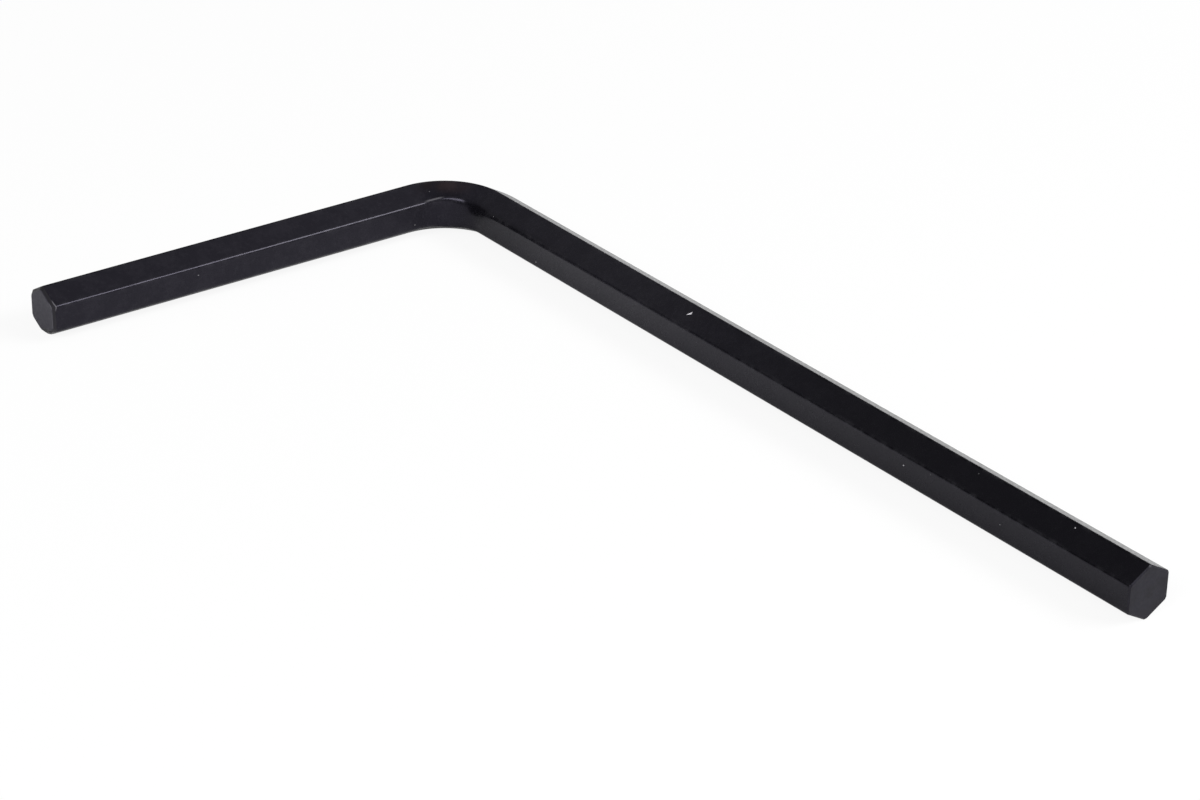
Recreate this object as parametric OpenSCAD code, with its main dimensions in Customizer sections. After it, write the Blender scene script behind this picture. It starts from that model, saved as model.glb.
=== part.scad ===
// Hex key: one length of hexagonal steel bar with a right-angled bend.
// It lies flat, with its long arm along +X and its short arm towards -Y,
// and rests on the lowest edge of the bar. The origin is on the surface that
// it lies on, below the middle of the rectangle that the key takes up.

/* [Bar] */
// Width of the bar across two opposite flats
across_flats = 5; // [3:0.5:8]
// How far the rounded edges of the bar lie inside the hexagon's sharp corners
edge_relief = 0.06; // [0.02:0.02:0.2]

/* [Arms] */
// Length of the long arm, from its end face to the outside of the short arm
long_arm = 110; // [60:1:200]
// Length of the short arm, from its end face to the outside of the long arm
short_arm = 55; // [30:1:100]

/* [Bend] */
// Radius of the bend, measured to the middle of the bar
bend_radius = 7; // [5:0.5:15]

/* [Ends] */
// Distance that the long arm's chamfer reaches in from each flat
long_chamfer = 0.15; // [0.1:0.05:0.6]
// Distance that the short arm's chamfer reaches in from each flat
short_chamfer = 0.35; // [0.1:0.05:0.6]
// Angle between the chamfers and the end faces
chamfer_angle = 40; // [20:5:45]
// How far the corners of an end face are cut back, as a share of its chamfer
corner_cut = 0.5; // [0.2:0.1:0.8]

/* [Hidden] */
$fn = 96;
bar_sides = 6;
side_turn = 360 / bar_sides;
bend_angle = 90;
corner_radius = across_flats / 2 / cos(side_turn / 2);
edge_radius = corner_radius - edge_relief;

// Section of the bar: a flat to the left and right, an edge at top and bottom.
// The edges are rounded off by one circle about the middle of the bar.
module bar_section() {
    intersection() {
        polygon([for (side = [1 : bar_sides]) corner_radius * [sin(side * side_turn), cos(side * side_turn)]]);
        circle(r = edge_radius);
    }
}

// Half of an arm's outline near its end: wider than the bar, then the slope of
// the chamfer, then the end face
function end_outline(straight, face_half) = [
    [0, -across_flats],
    [across_flats, -across_flats],
    [across_flats, straight - (across_flats - face_half) * tan(chamfer_angle)],
    [face_half, straight],
    [0, straight]
];

// Wedge that slopes off two opposite flats at an arm's end
module end_wedge(straight, face_half) {
    rotate([90, 0, 0])
        linear_extrude(2 * across_flats, center = true)
            for (side = [0, 1])
                mirror([side, 0])
                    polygon(end_outline(straight, face_half));
}

// Form that trims an arm: a slope along each flat, and a cone over the corners
module end_form(straight, chamfer) {
    face_half = across_flats / 2 - chamfer;
    corner_half = face_half / cos(side_turn / 2) - corner_cut * chamfer;
    intersection() {
        intersection_for(pair = [1 : bar_sides / 2])
            rotate(pair * side_turn)
                end_wedge(straight, face_half);
        rotate_extrude()
            polygon(end_outline(straight, corner_half));
    }
}

// Straight arm that rises from the end of the bend
module arm(arm_length, chamfer) {
    straight = arm_length - across_flats / 2 - bend_radius;
    intersection() {
        linear_extrude(straight + across_flats)
            bar_section();
        end_form(straight, chamfer);
    }
}

// Section carried round the corner, from the long arm to the short arm
module bend() {
    rotate(bend_angle)
        rotate_extrude(angle = bend_angle)
            translate([bend_radius, 0])
                bar_section();
}

// The whole key, placed from the point where the middles of the arms cross
module hex_key() {
    color([0.17, 0.17, 0.19])
        translate([(across_flats - long_arm) / 2, (short_arm - across_flats) / 2, edge_radius]) {
            translate([bend_radius, 0, 0])
                rotate([90, 0, 90])
                    arm(long_arm, long_chamfer);
            translate([bend_radius, -bend_radius, 0])
                bend();
            translate([0, -bend_radius, 0])
                rotate([90, 0, 0])
                    arm(short_arm, short_chamfer);
        }
}

hex_key();
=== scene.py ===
import math

import bmesh
import bpy
from mathutils import Matrix, Vector


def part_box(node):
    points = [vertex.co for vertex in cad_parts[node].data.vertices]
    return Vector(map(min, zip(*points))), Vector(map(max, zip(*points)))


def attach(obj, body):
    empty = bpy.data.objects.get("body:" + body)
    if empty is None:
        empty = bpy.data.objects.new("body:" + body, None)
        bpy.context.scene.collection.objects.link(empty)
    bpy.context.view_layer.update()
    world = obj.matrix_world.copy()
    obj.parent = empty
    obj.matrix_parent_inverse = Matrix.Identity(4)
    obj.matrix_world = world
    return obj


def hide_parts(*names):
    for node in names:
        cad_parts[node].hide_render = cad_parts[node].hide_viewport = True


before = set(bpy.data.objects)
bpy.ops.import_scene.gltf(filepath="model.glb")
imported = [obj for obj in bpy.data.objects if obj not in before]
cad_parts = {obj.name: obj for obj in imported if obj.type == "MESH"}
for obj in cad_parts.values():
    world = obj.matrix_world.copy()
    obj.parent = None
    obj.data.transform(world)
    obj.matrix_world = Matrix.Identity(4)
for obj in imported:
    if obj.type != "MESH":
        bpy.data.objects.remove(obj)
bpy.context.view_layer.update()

# Sizes of the key, in metres
MM = 0.001
BAR_SIDES = 6
ACROSS_FLATS = 5.0 * MM
BEND_RADIUS = 7.0 * MM
LONG_CHAMFER = 0.15 * MM
SHORT_CHAMFER = 0.35 * MM
CHAMFER_SLOPE = math.tan(math.radians(40))

# How far the corners of an end face are cut back, in shares of its chamfer, and its borders rounded
LONG_CUT = 0.5
LONG_ROUND = 0.02 * MM
SHORT_CUT_LEAST = 0.3
SHORT_CUT_MOST = 1.4
SHORT_ROUND_LEAST = 0.09 * MM
SHORT_ROUND_MOST = 0.50 * MM

# The side on which the short end was cut back and rounded most, and how narrow that stretch is
SHORT_CUT_SIDE = Vector((0.24, 0.0, -0.97))
SHORT_CUT_NARROWNESS = 6

# Points of a rounded border, in shares of the way along it, and how much each one wears and takes a
# painted highlight
BORDER_SHARES = (0, 1 / 3, 2 / 3, 1)
BORDER_WEAR_AND_HIGHLIGHT = (0, 1, 1, 0)
END_WEAR_AND_HIGHLIGHT = (0, *BORDER_WEAR_AND_HIGHLIGHT, *BORDER_WEAR_AND_HIGHLIGHT, 0)

# Lip that the bending raised along the upper edge of the inner flat
SWELL_UP = 0.38 * MM
SWELL_DOWN = 0.15 * MM
SWELL_BULGE = 0.04 * MM
SWELL_MIDDLE = math.radians(50)
SWELL_SPREAD = math.radians(15)

# Stretch of the same edge, towards the long arm, that the bending pressed round
SOFT_INWARD = 1.4 * MM
SOFT_UPWARD = 0.6 * MM
SOFT_MIDDLE = math.radians(22)
SOFT_SPREAD = math.radians(21)

# Nick on the long arm, in mm: points along the bar from the bend and up from the flat's middle
NICK_LINE = ((35.17, 0.02), (35.35, 0.21), (35.49, 0.31), (35.44, 0.51))
NICK_WIDTH = (0.03, 0.07, 0.12, 0.04)

# Depth of the nick, the fine grid round it, and the share of the depth from which steel shows
NICK_DEPTH = 0.06 * MM
NICK_GRID = 0.04 * MM
NICK_MARGIN = 0.25 * MM
NICK_BARE_FROM = 0.12

# The long arm's upper inner flat, which the nick is in: its outward and upward directions
FLAT_OUTWARD = Vector((0, -0.5, math.sqrt(0.75)))
FLAT_UPWARD = Vector((0, math.sqrt(0.75), 0.5))

# Places that follow from the solid
low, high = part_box("hex_key")
half_flats = ACROSS_FLATS / 2
corner_radius = half_flats / math.cos(math.pi / BAR_SIDES)
edge_radius = (high.z - low.z) / 2
setback = (corner_radius - edge_radius) / (1 - math.sqrt(0.5))
mid_height = (low.z + high.z) / 2
long_line = high.y - half_flats
short_line = low.x + half_flats
bend_centre = Vector((short_line + BEND_RADIUS, long_line - BEND_RADIUS, mid_height))
bend_length = BEND_RADIUS * math.pi / 2
long_end = Vector((high.x, long_line, mid_height))
short_end = Vector((short_line, low.y, mid_height))

# How finely the mesh is divided
EDGE_STEPS = 6
FLAT_CUTS = 13
BEND_STEPS = 60
RUN_OUT = 3.0 * MM
RUN_OUT_STEPS = 10

# Limits by which points, edges and faces of the mesh are told apart, and the least change made
SHORTEST_FLAT = ACROSS_FLATS / 6
ROUNDING_REACH = 1.1 * setback
INNER_FLAT_FROM = 0.9 * half_flats
EDGE_FROM = 0.93 * corner_radius
RIDGE_FROM = math.radians(31.5)
RIDGE_TO = math.radians(34.5)
ON_FLAT_WITHIN = 0.01 * MM
ALIGNED_FROM = 0.99
FACING_FROM = 0.5
LEAST_SHARE = 0.001

# Places of the finishes on the key
MAIN_FACE = 0
END_FACE = 1
NICK_FACE = 2


# The key's mesh


def section_ring(bm, rise=0.0, drop=0.0, bulge=0.0, down_reach=None, top_reach=None):
    """Ring of the bar's section about the origin: x points inward of the bend and y up."""
    corners = bmesh.ops.create_circle(bm, segments=BAR_SIDES, radius=corner_radius)["verts"]
    inner = [vert for vert in corners if vert.co.x > half_flats / 2]
    lower = [vert for vert in inner if vert.co.y < 0]
    upper_corner = next(vert.co.copy() for vert in inner if vert.co.y > 0)
    bmesh.ops.translate(bm, vec=(0, -drop, 0), verts=lower)
    round_corners(bm, corners)
    if down_reach:
        stretch_corner(bm, upper_corner, down_reach, top_reach)
    flats = [edge for edge in bm.edges if edge.calc_length() > SHORTEST_FLAT]
    bmesh.ops.subdivide_edges(bm, edges=flats, cuts=FLAT_CUTS)
    for vert in bm.verts:
        inward_share = max(vert.co.x / half_flats, 0)
        upward_share = min(max(vert.co.y / upper_corner.y, 0), 1)
        vert.co.y += rise * inward_share**2 * upward_share
        if vert.co.x > INNER_FLAT_FROM:
            vert.co.x += bulge * max(0, 1 - (vert.co.y / half_flats) ** 2)


def round_corners(bm, corners):
    """Rounds the section's corners off, as far in as the solid's edges lie."""
    bmesh.ops.bevel(
        bm,
        geom=corners,
        offset=setback,
        offset_type="OFFSET",
        segments=EDGE_STEPS,
        profile=0.5,
        material=-1,
        affect="VERTICES",
    )


def stretch_corner(bm, corner, down_reach, top_reach):
    """Spreads the rounding of the corner down the inner flat and up the sloping one."""
    slope = (Vector((0, corner_radius, 0)) - corner).normalized()
    for vert in bm.verts:
        offset = vert.co - corner
        if offset.length < ROUNDING_REACH:
            up_slope = offset.x / slope.x
            down_flat = up_slope * slope.y - offset.y
            stretched = slope * up_slope * top_reach - Vector((0, down_flat * down_reach, 0))
            vert.co = corner + stretched / setback


def ring_moves(bm, **change):
    """How far each point of the plain section moves to make the changed one."""
    changed = bmesh.new()
    section_ring(changed, **change)
    moves = [after.co - before.co for before, after in zip(bm.verts, changed.verts)]
    changed.free()
    return moves


def nearness_to_edge(radius):
    """1 on a rounded edge of the bar, 0 on its flats."""
    return min(max((radius - EDGE_FROM) / (edge_radius - EDGE_FROM), 0), 1)


def on_ridge(co):
    """1 on the upper part of the section's upper inner edge, where a highlight is painted in the bend.
    """
    return 1.0 if RIDGE_FROM < math.atan2(co.y, co.x) < RIDGE_TO else 0.0


def mark_ring(bm):
    """Numbers the section's points and marks its edges, for all the rings drawn from it."""
    for name in ("reach", "rim_share", "edge_share", "ridge_share"):
        bm.verts.layers.float.new(name)
    ring_place = bm.verts.layers.int.new("ring_place")
    edge_share = bm.verts.layers.float["edge_share"]
    ridge_share = bm.verts.layers.float["ridge_share"]
    for index, vert in enumerate(bm.verts):
        vert[ring_place] = index
        vert[edge_share] = nearness_to_edge(vert.co.length)
        vert[ridge_share] = on_ridge(vert.co)


def extend(bm, ring, vector):
    """Draws the ring out along the vector and returns the new ring."""
    drawn = bmesh.ops.extrude_edge_only(bm, edges=ring)["geom"]
    verts = [item for item in drawn if isinstance(item, bmesh.types.BMVert)]
    bmesh.ops.translate(bm, vec=vector, verts=verts)
    return [item for item in drawn if isinstance(item, bmesh.types.BMEdge)]


def ring_verts(ring):
    return list({vert for edge in ring for vert in edge.verts})


def draw_arm(bm, ring, direction, length):
    """Draws out the short run beside the bend in steps, and then the rest of the arm."""
    for _ in range(RUN_OUT_STEPS):
        ring = extend(bm, ring, direction * RUN_OUT / RUN_OUT_STEPS)
    return extend(bm, ring, direction * (length - RUN_OUT))


def place_along_bar(co):
    """The point's place in the bar before it was bent: along it, inward, and up."""
    if co.x >= bend_centre.x:
        return Vector((bend_length + co.x - bend_centre.x, long_line - co.y, co.z - mid_height))
    if co.y <= bend_centre.y:
        return Vector((co.y - bend_centre.y, co.x - short_line, co.z - mid_height))
    spoke = Vector((co.x - bend_centre.x, co.y - bend_centre.y))
    turn = math.pi - math.atan2(spoke.y, spoke.x)
    return Vector((turn * BEND_RADIUS, BEND_RADIUS - spoke.length, co.z - mid_height))


def place_in_space(place):
    """Where a place along the bar lies on the bent key."""
    along, inward, up = place
    if along >= bend_length:
        return Vector((bend_centre.x + along - bend_length, long_line - inward, mid_height + up))
    if along <= 0:
        return Vector((short_line + inward, bend_centre.y + along, mid_height + up))
    angle = math.pi - along / BEND_RADIUS
    reach = BEND_RADIUS - inward
    return bend_centre + Vector((reach * math.cos(angle), reach * math.sin(angle), up))


def bell(along, middle, spread):
    """Share of a change that is greatest at that angle round the bend and dies away beside it."""
    from_middle = (bend_length - along) / BEND_RADIUS - middle
    return math.exp(-0.5 * (from_middle / spread) ** 2)


def swell_bend(bm, swelling, softening):
    """Raises the lip in the bend and presses the edge beside it round, which takes its edge mark."""
    ring_place = bm.verts.layers.int["ring_place"]
    edge_share = bm.verts.layers.float["edge_share"]
    for vert in bm.verts:
        place = place_along_bar(vert.co)
        swollen = bell(place.x, SWELL_MIDDLE, SWELL_SPREAD)
        softened = bell(place.x, SOFT_MIDDLE, SOFT_SPREAD)
        if max(swollen, softened) > LEAST_SHARE:
            index = vert[ring_place]
            move = swelling[index] * swollen + softening[index] * softened
            if softening[index].length > 0:
                vert[edge_share] *= 1 - softened
            vert.co = place_in_space(place + Vector((0, move.x, move.y)))
            vert.co.z = min(max(vert.co.z, low.z), high.z)


def long_end_form(spoke):
    """How far the long end is cut back at a corner, as a share of the chamfer, and rounded."""
    return LONG_CUT, LONG_ROUND


def short_end_form(spoke):
    """The same for the short end, which is cut back and rounded most on one side."""
    share = max(spoke.dot(SHORT_CUT_SIDE), 0) ** SHORT_CUT_NARROWNESS
    corner_cut = SHORT_CUT_LEAST + (SHORT_CUT_MOST - SHORT_CUT_LEAST) * share
    softness = SHORT_ROUND_LEAST + (SHORT_ROUND_MOST - SHORT_ROUND_LEAST) * share
    return corner_cut, softness


def soft_corner(before, corner, after):
    """Points of a short curve that takes the place of the corner."""
    for share in BORDER_SHARES:
        yield before.lerp(corner, share).lerp(corner.lerp(after, share), share)


def end_outline(radius, chamfer, corner_cut, softness):
    """Half outline of a chamfered end: how far its points are from the middle and the end face."""
    face_share = (half_flats - chamfer) / half_flats
    corner_half = corner_radius * face_share - corner_cut * chamfer
    side_edge = Vector((radius, -max(chamfer, radius - corner_half) * CHAMFER_SLOPE))
    face_edge = Vector((min(radius * face_share, corner_half), 0))
    step = (face_edge - side_edge).normalized() * softness
    back = Vector((0, -softness))
    inward = Vector((-softness, 0))
    side_border = soft_corner(side_edge + back, side_edge, side_edge + step)
    face_border = soft_corner(face_edge - step, face_edge, face_edge + inward)
    return [side_edge + 2 * back, *side_border, *face_border, face_edge + 2 * inward]


def finish_end(bm, ring, centre, outward, chamfer, end_form):
    """Chamfers the arm's last ring along its flats, cuts its corners back and closes it."""
    reach = bm.verts.layers.float["reach"]
    rim_share = bm.verts.layers.float["rim_share"]
    for vert in ring_verts(ring):
        vert[reach] = (vert.co - centre).length
    for level, wear_and_highlight in enumerate(END_WEAR_AND_HIGHLIGHT):
        if level > 0:
            ring = extend(bm, ring, (0, 0, 0))
        for vert in ring_verts(ring):
            spoke = vert.co - centre
            spoke = (spoke - outward * spoke.dot(outward)).normalized()
            point = end_outline(vert[reach], chamfer, *end_form(spoke))[level]
            vert.co = centre + spoke * point.x + outward * point.y
            vert[rim_share] = wear_and_highlight
    bmesh.ops.edgeloop_fill(bm, edges=ring)


def bisect(bm, faces, point, normal):
    """Cuts the faces along a plane and returns them with the ones that the cut makes."""
    edges = dict.fromkeys(edge for face in faces for edge in face.edges)
    verts = dict.fromkeys(vert for face in faces for vert in face.verts)
    geom = [*faces, *edges, *verts]
    cut = bmesh.ops.bisect_plane(bm, geom=geom, plane_co=point, plane_no=normal)["geom"]
    return [item for item in cut if isinstance(item, bmesh.types.BMFace)]


def cut_strips(bm, faces, origin, axis, start, end):
    """Keeps the faces between two cuts across the axis, and divides them into narrow strips."""
    count = round((end - start) / NICK_GRID)
    end = start + count * NICK_GRID
    faces = bisect(bm, faces, origin + axis * start, axis)
    faces = [face for face in faces if (face.calc_center_median() - origin).dot(axis) > start]
    faces = bisect(bm, faces, origin + axis * end, axis)
    faces = [face for face in faces if (face.calc_center_median() - origin).dot(axis) < end]
    for step in range(1, count):
        faces = bisect(bm, faces, origin + axis * (start + step * NICK_GRID), axis)
    return faces


def nick_reach(along, across):
    """How deep in the nick a point lies: 1 along its line, 0 at its rim, and less outside."""
    best = -1.0
    point = Vector((along, across))
    for index in range(len(NICK_LINE) - 1):
        start = Vector(NICK_LINE[index])
        run = Vector(NICK_LINE[index + 1]) - start
        share = min(max((point - start).dot(run) / run.length_squared, 0), 1)
        width = NICK_WIDTH[index] * (1 - share) + NICK_WIDTH[index + 1] * share
        best = max(best, 1 - ((point - start - run * share).length / width) ** 2)
    return best


def on_long_flat(face, flat_middle):
    """Whether the face is part of the long arm's upper inner flat, past the run beside the bend."""
    middle = face.calc_center_median() - flat_middle
    in_plane = abs(middle.dot(FLAT_OUTWARD)) < ON_FLAT_WITHIN
    return middle.x > RUN_OUT and in_plane and face.normal.dot(FLAT_OUTWARD) ** 2 > ALIGNED_FROM


def cut_nick(bm):
    """Divides the upper inner flat round the nick finely, presses the nick in and marks it."""
    flat_middle = Vector((bend_centre.x, long_line, mid_height)) + FLAT_OUTWARD * half_flats
    patch = [face for face in bm.faces if on_long_flat(face, flat_middle)]
    for axis, marks in zip((Vector((1, 0, 0)), FLAT_UPWARD), zip(*NICK_LINE)):
        start = min(marks) * MM - NICK_MARGIN
        end = max(marks) * MM + NICK_MARGIN
        patch = cut_strips(bm, patch, flat_middle, axis, start, end)
    depth = {}
    for vert in dict.fromkeys(vert for face in patch for vert in face.verts):
        offset = (vert.co - flat_middle) / MM
        depth[vert] = max(nick_reach(offset.x, offset.dot(FLAT_UPWARD)), 0)
    for vert, share in depth.items():
        vert.co -= FLAT_OUTWARD * NICK_DEPTH * share
    for face in patch:
        if sum(depth[vert] for vert in face.verts) / len(face.verts) > NICK_BARE_FROM:
            face.material_index = NICK_FACE


def mark_ends(bm):
    """Gives the chamfers and end faces their finish."""
    for face in bm.faces:
        middle = face.calc_center_median()
        if middle.x > high.x - half_flats / 2 and face.normal.x > FACING_FROM:
            face.material_index = END_FACE
        if middle.y < low.y + half_flats / 2 and face.normal.y < -FACING_FROM:
            face.material_index = END_FACE


def build_key():
    """Spins the section round the bend, draws out both arms and finishes their ends."""
    bm = bmesh.new()
    section_ring(bm)
    swelling = ring_moves(bm, rise=SWELL_UP, drop=SWELL_DOWN, bulge=SWELL_BULGE)
    softening = ring_moves(bm, down_reach=SOFT_INWARD, top_reach=SOFT_UPWARD)
    mark_ring(bm)

    stand_up = Matrix(((0, 0, -1), (-1, 0, 0), (0, 1, 0)))
    bmesh.ops.rotate(bm, cent=(0, 0, 0), matrix=stand_up, verts=bm.verts)
    bmesh.ops.translate(bm, vec=(bend_centre.x, long_line, mid_height), verts=bm.verts)
    long_start = list(bm.edges)
    turned = bmesh.ops.spin(
        bm,
        geom=long_start,
        cent=bend_centre,
        axis=(0, 0, 1),
        angle=math.pi / 2,
        steps=BEND_STEPS,
    )["geom_last"]
    short_start = [item for item in turned if isinstance(item, bmesh.types.BMEdge)]
    long_ring = draw_arm(bm, long_start, Vector((1, 0, 0)), high.x - bend_centre.x)
    short_ring = draw_arm(bm, short_start, Vector((0, -1, 0)), bend_centre.y - low.y)
    swell_bend(bm, swelling, softening)
    finish_end(bm, long_ring, long_end, Vector((1, 0, 0)), LONG_CHAMFER, long_end_form)
    finish_end(bm, short_ring, short_end, Vector((0, -1, 0)), SHORT_CHAMFER, short_end_form)
    bmesh.ops.recalc_face_normals(bm, faces=bm.faces)
    cut_nick(bm)
    mark_ends(bm)
    return bm


def make_key():
    """The key as a finished piece, shaded smooth, with each point's place along the bar."""
    bm = build_key()
    for face in bm.faces:
        face.smooth = True
    mesh = bpy.data.meshes.new("key_body")
    bm.to_mesh(mesh)
    bm.free()
    for name in ("ring_place", "reach"):
        mesh.attributes.remove(mesh.attributes[name])
    bar_place = mesh.attributes.new("bar_place", "FLOAT_VECTOR", "POINT")
    for vert in mesh.vertices:
        bar_place.data[vert.index].vector = place_along_bar(vert.co) / MM
    key = bpy.data.objects.new("key_body", mesh)
    bpy.context.scene.collection.objects.link(key)
    return key


# Colours of the finishes
BLACK = (0.0066, 0.0061, 0.0088, 1)
BLACK_THIN = (0.0102, 0.0095, 0.0128, 1)
DARK_TINT = (0.0075, 0.0052, 0.0046, 1)
PALE_TINT = (0.0190, 0.0140, 0.0155, 1)
WORN = (0.040, 0.039, 0.044, 1)
PALE_STEEL = (0.50, 0.49, 0.51, 1)
PALE_WEAR_AND_HIGHLIGHT = (0.160, 0.155, 0.170, 1)
END_BLACK = (0.0090, 0.0085, 0.0130, 1)
SHORT_RIM_PAINTED_LIGHT = (0.0150, 0.0142, 0.0170, 1)
SHORT_FACE_PAINTED_LIGHT = (0.0300, 0.0285, 0.0380, 1)
NICK_STEEL = (0.68, 0.67, 0.70, 1)
NICK_STEEL_DARK = (0.48, 0.47, 0.50, 1)

# Gloss of the finishes
FINISH_IOR = 1.30
STEEL_IOR = 1.45
STEEL_METALLIC = 0.5
GLOSS_TINT = (0.82, 0.78, 1.0, 1)
END_GLOSS_TINT = (0.88, 0.86, 0.96, 1)
COAT_ROUGHNESS = 0.25

# Sizes of the grain, of the clouds in it and of the drawn lines, in mm
GRAIN_SIZE = 0.45
CLOUD_SIZE = 2.2
LINE_LENGTH = 9.0
LINE_WIDTH = 0.16
END_GRAIN_SIZE = 0.3
END_CLOUD_SIZE = 1.4
NICK_GRAIN_SIZE = 0.08

# Height of the grain and lines, what each adds to it, and how much deeper a pit is
RELIEF = 0.003 * MM
END_RELIEF = 0.004 * MM
GRAIN_RELIEF = 0.7
LINE_RELIEF = 0.3
PIT_RELIEF = 12.0

# Every fade below is where it starts and ends, and the values there where they aren't 0 and 1
GRAIN_FADE = (0.3, 0.7)
ROUGHNESS = (*GRAIN_FADE, 0.20, 0.28)
END_ROUGHNESS = (*GRAIN_FADE, 0.42, 0.52)
NICK_ROUGHNESS = (*GRAIN_FADE, 0.35, 0.50)
THIN_FADE = (0.8, 1.3)
END_THIN_FADE = (0.35, 0.65)

# Painted shade: a darker stretch of the inner flat past the bend, and the long arm darker towards its
# end, in mm
PAINTED_SHADE_IN = (4.0, 10.0, 1.0, 0.5)
PAINTED_SHADE_OUT = (11.0, 32.0, 0.5, 1.0)
PAINTED_SHADE_INWARD = (1.8, 2.45, 1.0, 0.5)
PAINTED_TIP_SHADE = (30.0, 85.0, 1.0, 0.3)

# Brown tint on top of the bend, in mm: its middle along the bar, its fades, and from dark to pale
TINT_MIDDLE = 4.1
TINT_FADE_ALONG = (4.3, 1.0)
TINT_FADE_UP = (1.9, 2.6)
TINT_FADE_CLOUD = (0.25, 0.55)
TINT_CHANGE = (1.5, 5.5)

# Trace of oil on the long arm near the bend, where the key is held, in mm
OIL_MIDDLE = 33.0
OIL_FADE = (20.0, 4.0)
OIL_WEIGHT = 0.10

# Shine of the short arm's rubbed edges, which ends in the bend, in mm
EDGE_POLISH = 0.12
POLISH_END = (2.6, 1.4)
POLISH_FADE = (-40.0, -5.0, 0.3, 1.0)

# Where the grain gets flatter on the long arm, and where painted light makes the short end's rim and
# face paler, in mm
FLATTER_FADE = (8.0, 20.0, 1.0, 0.35)
SHORT_RIM_LIGHT_FADE = (-44.0, -45.0)
SHORT_FACE_LIGHT_FADE = (-45.42, -45.49)

# Rubbed edges: how much shows, how closely it is broken up, and how sharply
EDGE_WEAR = 0.3
EDGE_WEAR_SCALE = 0.9
EDGE_WEAR_FADE = (0.4, 0.7)

# Scattered specks: spacing and size in mm, the share of places that have one, and how pale they are
SPECK_SPACING = 3.1
SPECK_SIZE = 0.06
SPECK_SHARE = 0.2
SPECK_AMOUNT = 0.1

# Soft rim of a spot, in shares of its reach
SPOT_FADE = (1.0, 0.4)

# Pale specks where the black has chipped off: place along the bar, inward and up, size, and amount
PALE_SPECKS = (
    ((102.29, 0.50, 2.60), 0.09, 1.0),
    ((81.15, 2.5, 0.40), 0.08, 1.0),
    ((2.22, 1.25, 2.17), 0.045, 1.0),
    ((-0.81, 2.5, -0.80), 0.05, 1.0),
    ((-28.28, 2.5, 0.50), 0.05, 1.0),
    ((13.7, 2.42, 1.48), 0.06, 1.0),
    ((21.71, 2.5, -0.88), 0.07, 1.0),
    ((34.67, 2.42, 1.55), 0.06, 1.0),
    ((84.95, 2.5, 1.10), 0.10, 0.12),
    ((94.65, 2.5, 0.09), 0.05, 1.0),
    ((89.41, 0.575, 2.555), 0.10, 0.10),
)

# Dark pits on the long arm, given in the same way
DARK_PITS = (
    ((92.7, -1.25, 2.17), 0.10, 1.0),
    ((94.2, -1.50, 2.02), 0.07, 1.0),
    ((104.7, -1.075, 2.27), 0.10, 1.0),
    ((35.6, -0.94, 2.34), 0.09, 1.0),
    ((107.87, 2.5, 0.41), 0.09, 1.0),
)

# Worn stretches of the short chamfer's borders, with a painted highlight there too, and a painted
# highlight on the bend's upper inner edge, with three sizes
RIM_WEAR_AND_HIGHLIGHT = (
    ((-45.3, 2.3, 1.5), (0.8, 0.9, 0.7), 0.6),
    ((-45.5, 2.15, -0.2), (0.5, 0.5, 1.3), 0.3),
)
RIDGE_HIGHLIGHT = (((2.5, 2.4, 1.7), (1.9, 1.6, 1.6), 0.5),)


# Node trees

# Numbers of the colour sockets on a node that blends two values
FIRST_COLOUR = 6
SECOND_COLOUR = 7
BLENDED_COLOUR = 2


class Wiring:
    """Adds nodes to one node tree and joins them."""

    def __init__(self, tree):
        self.tree = tree

    def feed(self, socket, value):
        if isinstance(value, bpy.types.NodeSocket):
            self.tree.links.new(value, socket)
        else:
            socket.default_value = value

    def add(self, kind, inputs, **settings):
        node = self.tree.nodes.new(kind)
        for name, value in settings.items():
            setattr(node, name, value)
        for name, value in inputs.items():
            self.feed(node.inputs[name], value)
        return node

    def attribute(self, name, output="Fac"):
        return self.add("ShaderNodeAttribute", {}, attribute_name=name).outputs[output]

    def math(self, operation, *values):
        return self.add("ShaderNodeMath", dict(enumerate(values)), operation=operation).outputs[0]

    def chain(self, operation, first, *others):
        """Joins any number of values, one after the other."""
        for other in others:
            first = self.math(operation, first, other)
        return first

    def away_from(self, value, middle):
        return self.math("ABSOLUTE", self.math("SUBTRACT", value, middle))

    def vector(self, operation, *values, output="Vector"):
        inputs = dict(enumerate(values))
        return self.add("ShaderNodeVectorMath", inputs, operation=operation).outputs[output]

    def darken(self, colour, share):
        inputs = {0: colour, "Scale": share}
        return self.add("ShaderNodeVectorMath", inputs, operation="SCALE").outputs["Vector"]

    def ramp(self, value, start, end, start_value=0.0, end_value=1.0):
        """Goes smoothly from one value to another while the value goes from start to end."""
        limits = {"From Min": start, "From Max": end, "To Min": start_value, "To Max": end_value}
        inputs = {"Value": value, **limits}
        return self.add("ShaderNodeMapRange", inputs, interpolation_type="SMOOTHSTEP").outputs["Result"]

    def noise(self, place, scale, detail):
        inputs = {"Vector": place, "Scale": scale, "Detail": detail}
        return self.add("ShaderNodeTexNoise", inputs).outputs["Fac"]

    def blend(self, factor, first, second):
        inputs = {"Factor": factor, FIRST_COLOUR: first, SECOND_COLOUR: second}
        return self.add("ShaderNodeMix", inputs, data_type="RGBA").outputs[BLENDED_COLOUR]

    def effect(self, group, **inputs):
        return self.add("ShaderNodeGroup", inputs, node_tree=group).outputs[0]

    def bump(self, height, distance):
        inputs = {"Height": height, "Distance": distance, "Strength": 1.0}
        return self.add("ShaderNodeBump", inputs).outputs["Normal"]


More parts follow.
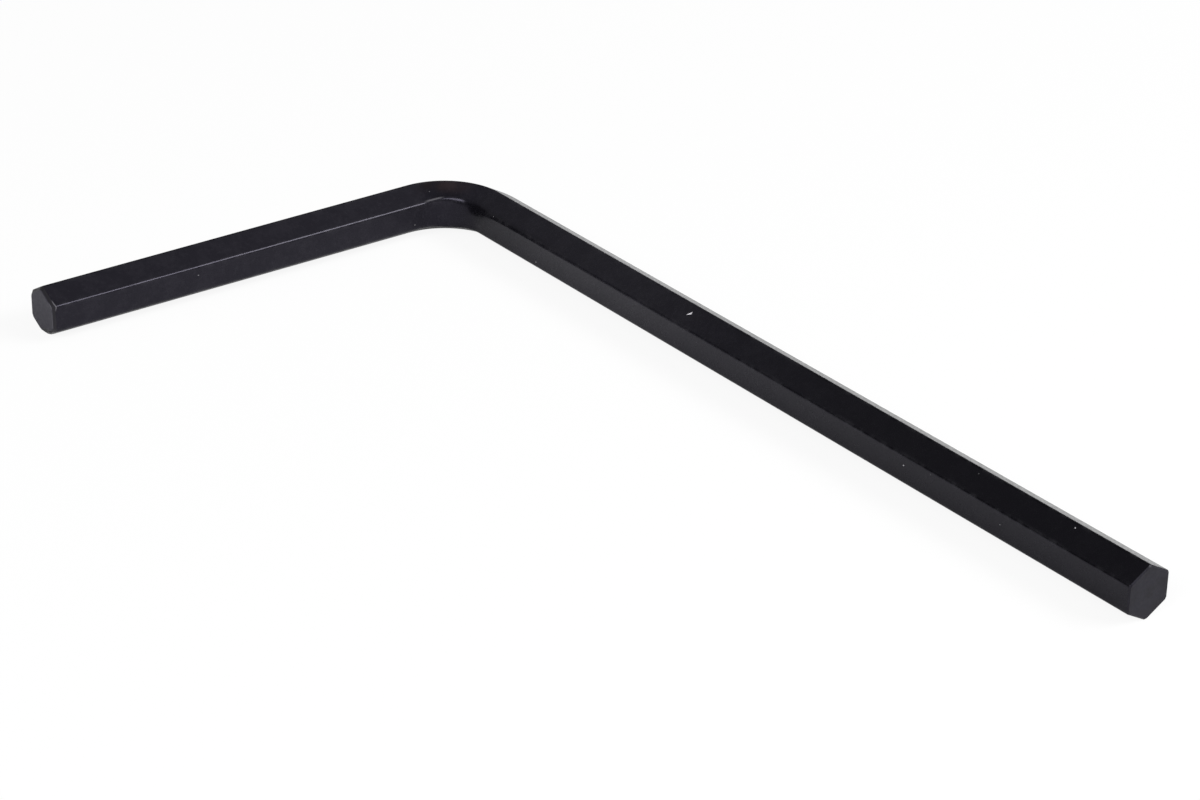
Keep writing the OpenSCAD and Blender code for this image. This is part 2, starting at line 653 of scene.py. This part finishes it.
def new_effect(name, inputs, output):
    """Starts a node group with named inputs and one output, and returns it with its ends."""
    group = bpy.data.node_groups.new(name, "ShaderNodeTree")
    for socket, kind in inputs.items():
        group.interface.new_socket(socket, in_out="INPUT", socket_type="NodeSocket" + kind)
    group.interface.new_socket(output, in_out="OUTPUT", socket_type="NodeSocketFloat")
    given = group.nodes.new("NodeGroupInput")
    result = group.nodes.new("NodeGroupOutput")
    return group, Wiring(group), given.outputs, result.inputs[output]


def make_grain():
    """Fine unevenness of one size in every direction."""
    inputs = {"Place": "Vector", "Size": "Float"}
    group, wiring, given, result = new_effect("fine_grain", inputs, "Grain")
    scale = wiring.math("DIVIDE", 1.0, given["Size"])
    wiring.feed(result, wiring.noise(given["Place"], scale, detail=3.0))
    return group


def make_drawn_lines():
    """Long fine lines left along the bar by drawing it through the die."""
    inputs = {"Place": "Vector", "Length": "Float", "Width": "Float"}
    group, wiring, given, result = new_effect("drawn_lines", inputs, "Lines")
    sizes = {"X": given["Length"], "Y": given["Width"], "Z": given["Width"]}
    size = wiring.add("ShaderNodeCombineXYZ", sizes).outputs[0]
    stretched = wiring.vector("DIVIDE", given["Place"], size)
    wiring.feed(result, wiring.noise(stretched, 1.0, detail=2.0))
    return group


def make_rubbed_edge():
    """Where handling has rubbed the black thin along an edge, in broken stretches."""
    inputs = {"Place": "Vector", "Edge": "Float", "Amount": "Float"}
    group, wiring, given, result = new_effect("rubbed_edge", inputs, "Mask")
    noise = wiring.noise(given["Place"], EDGE_WEAR_SCALE, detail=5.0)
    broken = wiring.ramp(noise, *EDGE_WEAR_FADE)
    edge = wiring.math("POWER", given["Edge"], 2.0)
    wiring.feed(result, wiring.chain("MULTIPLY", edge, broken, given["Amount"]))
    return group


def make_spot():
    """One small spot with a soft rim, as long, wide and high as its reach."""
    inputs = {"Place": "Vector", "Centre": "Vector", "Reach": "Vector"}
    group, wiring, given, result = new_effect("small_spot", inputs, "Mask")
    offset = wiring.vector("SUBTRACT", given["Place"], given["Centre"])
    scaled = wiring.vector("DIVIDE", offset, given["Reach"])
    distance = wiring.vector("LENGTH", scaled, output="Value")
    wiring.feed(result, wiring.ramp(distance, *SPOT_FADE))
    return group


def make_specks():
    """Specks scattered at random, in a share of the cells of that spacing."""
    inputs = {"Place": "Vector", "Spacing": "Float", "Size": "Float", "Share": "Float"}
    group, wiring, given, result = new_effect("scattered_specks", inputs, "Mask")
    scale = wiring.math("DIVIDE", 1.0, given["Spacing"])
    cells = wiring.add("ShaderNodeTexVoronoi", {"Vector": given["Place"], "Scale": scale})
    reach = wiring.math("DIVIDE", given["Size"], given["Spacing"])
    near = wiring.math("LESS_THAN", cells.outputs["Distance"], reach)
    luck = wiring.add("ShaderNodeSeparateColor", {"Color": cells.outputs["Color"]}).outputs[0]
    chosen = wiring.math("LESS_THAN", luck, given["Share"])
    wiring.feed(result, wiring.math("MULTIPLY", near, chosen))
    return group


# Finishes


def start_material(name, ior):
    """Starts a material and returns it with its wiring, its shader and the place along the bar."""
    material = bpy.data.materials.new(name)
    material.use_nodes = True
    wiring = Wiring(material.node_tree)
    shader = material.node_tree.nodes["Principled BSDF"]
    shader.inputs["IOR"].default_value = ior
    return material, wiring, shader, wiring.attribute("bar_place", "Vector")


def spots(wiring, effects, place, marks):
    """The marks' small spots together, each as strong as its amount."""
    mask = 0.0
    for centre, reach, amount in marks:
        spot = wiring.effect(effects["spot"], Place=place, Centre=centre, Reach=reach)
        mask = wiring.math("MAXIMUM", mask, wiring.math("MULTIPLY", spot, amount))
    return mask


def round_spots(wiring, effects, place, marks):
    """The same for marks that have one size."""
    sized = [(centre, (size, size, size), amount) for centre, size, amount in marks]
    return spots(wiring, effects, place, sized)


def wear_and_highlight_line(wiring, effects, place, marks, line):
    """Pale wear and painted highlight along a marked line of the mesh, in the marks' stretches."""
    worn = spots(wiring, effects, place, marks)
    return wiring.math("MULTIPLY", worn, wiring.attribute(line))


def make_black_finish(effects):
    """Black oxide over drawn bar: near black, satin, with drawn lines, thin places and specks."""
    material, wiring, shader, place = start_material("black_finish", FINISH_IOR)
    along, inward, up = wiring.add("ShaderNodeSeparateXYZ", {"Vector": place}).outputs
    edge = wiring.attribute("edge_share")
    grain = wiring.effect(effects["grain"], Place=place, Size=GRAIN_SIZE)
    cloud = wiring.effect(effects["grain"], Place=place, Size=CLOUD_SIZE)

    thin = wiring.ramp(wiring.math("ADD", grain, cloud), *THIN_FADE)
    colour = wiring.blend(thin, BLACK, BLACK_THIN)
    # Painted shade: darkens the inner flat past the bend and the long arm towards its end
    shade_in = wiring.ramp(along, *PAINTED_SHADE_IN)
    shade_out = wiring.ramp(along, *PAINTED_SHADE_OUT)
    shade_inward = wiring.ramp(inward, *PAINTED_SHADE_INWARD)
    stretch = wiring.chain("MAXIMUM", shade_out, shade_in, shade_inward)
    colour = wiring.darken(colour, wiring.math("MULTIPLY", wiring.ramp(along, *PAINTED_TIP_SHADE), stretch))

    tinted_along = wiring.ramp(wiring.away_from(along, TINT_MIDDLE), *TINT_FADE_ALONG)
    tinted_up = wiring.ramp(up, *TINT_FADE_UP)
    tinted = wiring.chain("MULTIPLY", tinted_along, tinted_up, wiring.ramp(cloud, *TINT_FADE_CLOUD))
    tint = wiring.blend(wiring.ramp(along, *TINT_CHANGE), DARK_TINT, PALE_TINT)
    colour = wiring.blend(tinted, colour, tint)

    worn = wiring.effect(effects["edge"], Place=place, Edge=edge, Amount=EDGE_WEAR)
    colour = wiring.blend(worn, colour, WORN)
    # Pale wear on the short chamfer's borders, partly a painted highlight
    rim = wear_and_highlight_line(wiring, effects, place, RIM_WEAR_AND_HIGHLIGHT, "rim_share")
    colour = wiring.blend(rim, colour, PALE_WEAR_AND_HIGHLIGHT)
    # Painted highlight: a pale line along the upper inner edge in the bend
    ridge = wear_and_highlight_line(wiring, effects, place, RIDGE_HIGHLIGHT, "ridge_share")
    colour = wiring.blend(ridge, colour, PALE_WEAR_AND_HIGHLIGHT)
    pale = round_spots(wiring, effects, place, PALE_SPECKS)
    colour = wiring.blend(pale, colour, PALE_STEEL)
    speck_sizes = {"Spacing": SPECK_SPACING, "Size": SPECK_SIZE, "Share": SPECK_SHARE}
    specks = wiring.effect(effects["specks"], Place=place, **speck_sizes)
    colour = wiring.blend(wiring.math("MULTIPLY", specks, SPECK_AMOUNT), colour, PALE_STEEL)
    wiring.feed(shader.inputs["Base Color"], colour)

    oil = wiring.ramp(wiring.away_from(along, OIL_MIDDLE), *OIL_FADE)
    oiled = wiring.math("MULTIPLY", oil, OIL_WEIGHT)
    polished = wiring.chain(
        "MULTIPLY",
        wiring.math("POWER", edge, 2.0),
        EDGE_POLISH,
        wiring.ramp(along, *POLISH_END),
        wiring.ramp(along, *POLISH_FADE),
    )
    wiring.feed(shader.inputs["Coat Weight"], wiring.math("MAXIMUM", oiled, polished))
    shader.inputs["Coat Roughness"].default_value = COAT_ROUGHNESS
    shader.inputs["Specular Tint"].default_value = GLOSS_TINT
    wiring.feed(shader.inputs["Roughness"], wiring.ramp(grain, *ROUGHNESS))

    lines = wiring.effect(effects["lines"], Place=place, Length=LINE_LENGTH, Width=LINE_WIDTH)
    grain_height = wiring.math("MULTIPLY", grain, GRAIN_RELIEF)
    height = wiring.math("ADD", grain_height, wiring.math("MULTIPLY", lines, LINE_RELIEF))
    height = wiring.math("MULTIPLY", height, wiring.ramp(along, *FLATTER_FADE))
    pits = round_spots(wiring, effects, place, DARK_PITS)
    height = wiring.math("SUBTRACT", height, wiring.math("MULTIPLY", pits, PIT_RELIEF))
    wiring.feed(shader.inputs["Normal"], wiring.bump(height, RELIEF))
    return material


def make_cut_end(effects):
    """Black oxide over the sawn and chamfered ends: a little rougher and paler, with painted light that
    makes the short end paler still.
    """
    material, wiring, shader, place = start_material("cut_end", FINISH_IOR)
    along = wiring.add("ShaderNodeSeparateXYZ", {"Vector": place}).outputs["X"]
    grain = wiring.effect(effects["grain"], Place=place, Size=END_GRAIN_SIZE)
    cloud = wiring.effect(effects["grain"], Place=place, Size=END_CLOUD_SIZE)
    colour = wiring.blend(wiring.ramp(cloud, *END_THIN_FADE), BLACK, END_BLACK)
    # Painted light: the short end's chamfer and face are made paler
    colour = wiring.blend(wiring.ramp(along, *SHORT_RIM_LIGHT_FADE), colour, SHORT_RIM_PAINTED_LIGHT)
    colour = wiring.blend(wiring.ramp(along, *SHORT_FACE_LIGHT_FADE), colour, SHORT_FACE_PAINTED_LIGHT)
    # Pale wear on the short chamfer's borders, partly a painted highlight
    rim = wear_and_highlight_line(wiring, effects, place, RIM_WEAR_AND_HIGHLIGHT, "rim_share")
    colour = wiring.blend(rim, colour, PALE_WEAR_AND_HIGHLIGHT)
    wiring.feed(shader.inputs["Base Color"], colour)
    shader.inputs["Specular Tint"].default_value = END_GLOSS_TINT
    wiring.feed(shader.inputs["Roughness"], wiring.ramp(grain, *END_ROUGHNESS))
    wiring.feed(shader.inputs["Normal"], wiring.bump(grain, END_RELIEF))
    return material


def make_bare_steel(effects):
    """Steel laid bare in the nick."""
    material, wiring, shader, place = start_material("bare_steel", STEEL_IOR)
    grain = wiring.effect(effects["grain"], Place=place, Size=NICK_GRAIN_SIZE)
    colour = wiring.blend(wiring.ramp(grain, *GRAIN_FADE), NICK_STEEL, NICK_STEEL_DARK)
    wiring.feed(shader.inputs["Base Color"], colour)
    wiring.feed(shader.inputs["Roughness"], wiring.ramp(grain, *NICK_ROUGHNESS))
    shader.inputs["Metallic"].default_value = STEEL_METALLIC
    return material


def finish_key(key):
    """Puts the three finishes on the key, in the places that its faces name."""
    effects = {
        "grain": make_grain(),
        "lines": make_drawn_lines(),
        "edge": make_rubbed_edge(),
        "spot": make_spot(),
        "specks": make_specks(),
    }
    finishes = {
        MAIN_FACE: make_black_finish(effects),
        END_FACE: make_cut_end(effects),
        NICK_FACE: make_bare_steel(effects),
    }
    for place in sorted(finishes):
        key.data.materials.append(finishes[place])


# Floor, light and camera

# White floor, and how much of its white shows unshaded to the camera and in the key's gloss
FLOOR_HALF = 5.0
FLOOR_WHITE = (0.88, 0.88, 0.88, 1)
CAMERA_LIFT = 0.90
GLOSS_LIFT = 0.15
PURE_WHITE = (1, 1, 1, 1)

# Light panels: heading and elevation in degrees, width and height in metres, and brightness
PANEL_DISTANCE = 0.8
SOFTBOXES = {
    "back_softbox": (43, 38, 0.52, 0.27, 13.0),
    "right_softbox": (5, 43, 0.40, 0.25, 0.3),
    "front_softbox": (303, 37, 0.46, 0.28, 10.5),
}

# Light of the room: ceiling and strip by height, and a glow and a dim corner by nearness to them
CEILING_FADE = (0.35, 0.62, 0.08, 0.29)
STRIP_FADE = (0.12, 0.05)
BACK_GLOW = (-0.03, 0.56, 0.828)
GLOW_FADE = (0.96, 0.995, 0.0, 0.24)
DIM_CORNER = (-0.53, 0.30, 0.79)
DIM_FADE = (0.92, 0.97, 1.0, 0.2)

# The camera, placed from the point where the middles of the two arms cross
CAMERA_FROM_CORNER = Vector((294.567, -205.182, 157.984)) * MM
CAMERA_HEADING = math.radians(-52.6002)
CAMERA_PITCH = math.radians(27.0713)
CAMERA_ROLL = math.radians(-1.0594)
CAMERA_LENS = 105.738
CAMERA_SENSOR = 36.0
CAMERA_NEAREST = 0.01


def make_floor():
    """White floor. Part of its white shows unshaded, so that its shadow stays light."""
    bm = bmesh.new()
    bmesh.ops.create_grid(bm, x_segments=1, y_segments=1, size=FLOOR_HALF)
    mesh = bpy.data.meshes.new("floor")
    bm.to_mesh(mesh)
    bm.free()
    floor = bpy.data.objects.new("floor", mesh)
    bpy.context.scene.collection.objects.link(floor)
    material = bpy.data.materials.new("white_floor")
    material.use_nodes = True
    wiring = Wiring(material.node_tree)
    shader = material.node_tree.nodes["Principled BSDF"]
    shader.inputs["Base Color"].default_value = FLOOR_WHITE
    shader.inputs["Roughness"].default_value = 0.9
    shader.inputs["Specular IOR Level"].default_value = 0.0
    ray = wiring.add("ShaderNodeLightPath", {}).outputs
    reflected = wiring.math("MAXIMUM", ray["Is Glossy Ray"], ray["Is Transmission Ray"])
    gloss_lift = wiring.math("MULTIPLY", reflected, GLOSS_LIFT)
    camera_lift = wiring.math("MULTIPLY", ray["Is Camera Ray"], CAMERA_LIFT)
    lift = wiring.math("MAXIMUM", gloss_lift, camera_lift)
    white = wiring.add("ShaderNodeEmission", {"Color": PURE_WHITE, "Strength": 1.0})
    mixed = wiring.add("ShaderNodeMixShader", {0: lift, 1: shader.outputs[0], 2: white.outputs[0]})
    wiring.feed(material.node_tree.nodes["Material Output"].inputs["Surface"], mixed.outputs[0])
    floor.data.materials.append(material)


def make_softbox(name, heading, elevation, width, height, brightness):
    """Panel that lights the key from that heading and elevation."""
    light = bpy.data.lights.new(name, "AREA")
    light.shape = "RECTANGLE"
    light.size = width
    light.size_y = height
    light.energy = math.pi * width * height * brightness
    lamp = bpy.data.objects.new(name, light)
    bpy.context.scene.collection.objects.link(lamp)
    turn = Matrix.Rotation(math.radians(heading), 4, "Z")
    lift = Matrix.Rotation(math.radians(-elevation), 4, "Y")
    lamp.location = turn @ lift @ Vector((PANEL_DISTANCE, 0, 0))
    lamp.rotation_euler = (-lamp.location).to_track_quat("-Z", "Y").to_euler()


def make_room():
    """Dim room: a white strip round the horizon, dark above it, and a grey ceiling."""
    world = bpy.data.worlds.new("studio")
    bpy.context.scene.world = world
    world.use_nodes = True
    wiring = Wiring(world.node_tree)
    direction = wiring.add("ShaderNodeTexCoord", {}).outputs["Generated"]
    height = wiring.add("ShaderNodeSeparateXYZ", {"Vector": direction}).outputs["Z"]
    near_dim = wiring.vector("DOT_PRODUCT", direction, DIM_CORNER, output="Value")
    near_glow = wiring.vector("DOT_PRODUCT", direction, BACK_GLOW, output="Value")
    ceiling = wiring.ramp(height, *CEILING_FADE)
    ceiling = wiring.math("MULTIPLY", ceiling, wiring.ramp(near_dim, *DIM_FADE))
    strength = wiring.math("MAXIMUM", ceiling, wiring.ramp(height, *STRIP_FADE))
    strength = wiring.math("ADD", strength, wiring.ramp(near_glow, *GLOW_FADE))
    background = world.node_tree.nodes["Background"]
    background.inputs["Color"].default_value = PURE_WHITE
    wiring.feed(background.inputs["Strength"], strength)


def make_camera():
    """Camera at the place and turn from which the key was photographed."""
    data = bpy.data.cameras.new("camera")
    data.lens = CAMERA_LENS
    data.sensor_width = CAMERA_SENSOR
    data.sensor_fit = "HORIZONTAL"
    data.clip_start = CAMERA_NEAREST
    camera = bpy.data.objects.new("camera", data)
    bpy.context.scene.collection.objects.link(camera)
    corner = Vector((short_line, long_line, mid_height))
    heading = Matrix.Rotation(-CAMERA_HEADING, 4, "Z")
    pitch = Matrix.Rotation(math.pi / 2 - CAMERA_PITCH, 4, "X")
    roll = Matrix.Rotation(-CAMERA_ROLL, 4, "Z")
    camera.matrix_world = Matrix.Translation(corner + CAMERA_FROM_CORNER) @ heading @ pitch @ roll
    bpy.context.scene.camera = camera


key = make_key()
finish_key(key)
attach(key, "root")
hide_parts("hex_key")
make_floor()
make_room()
for name, sizes in SOFTBOXES.items():
    make_softbox(name, *sizes)
make_camera()
bpy.context.scene.view_settings.view_transform = "Standard"
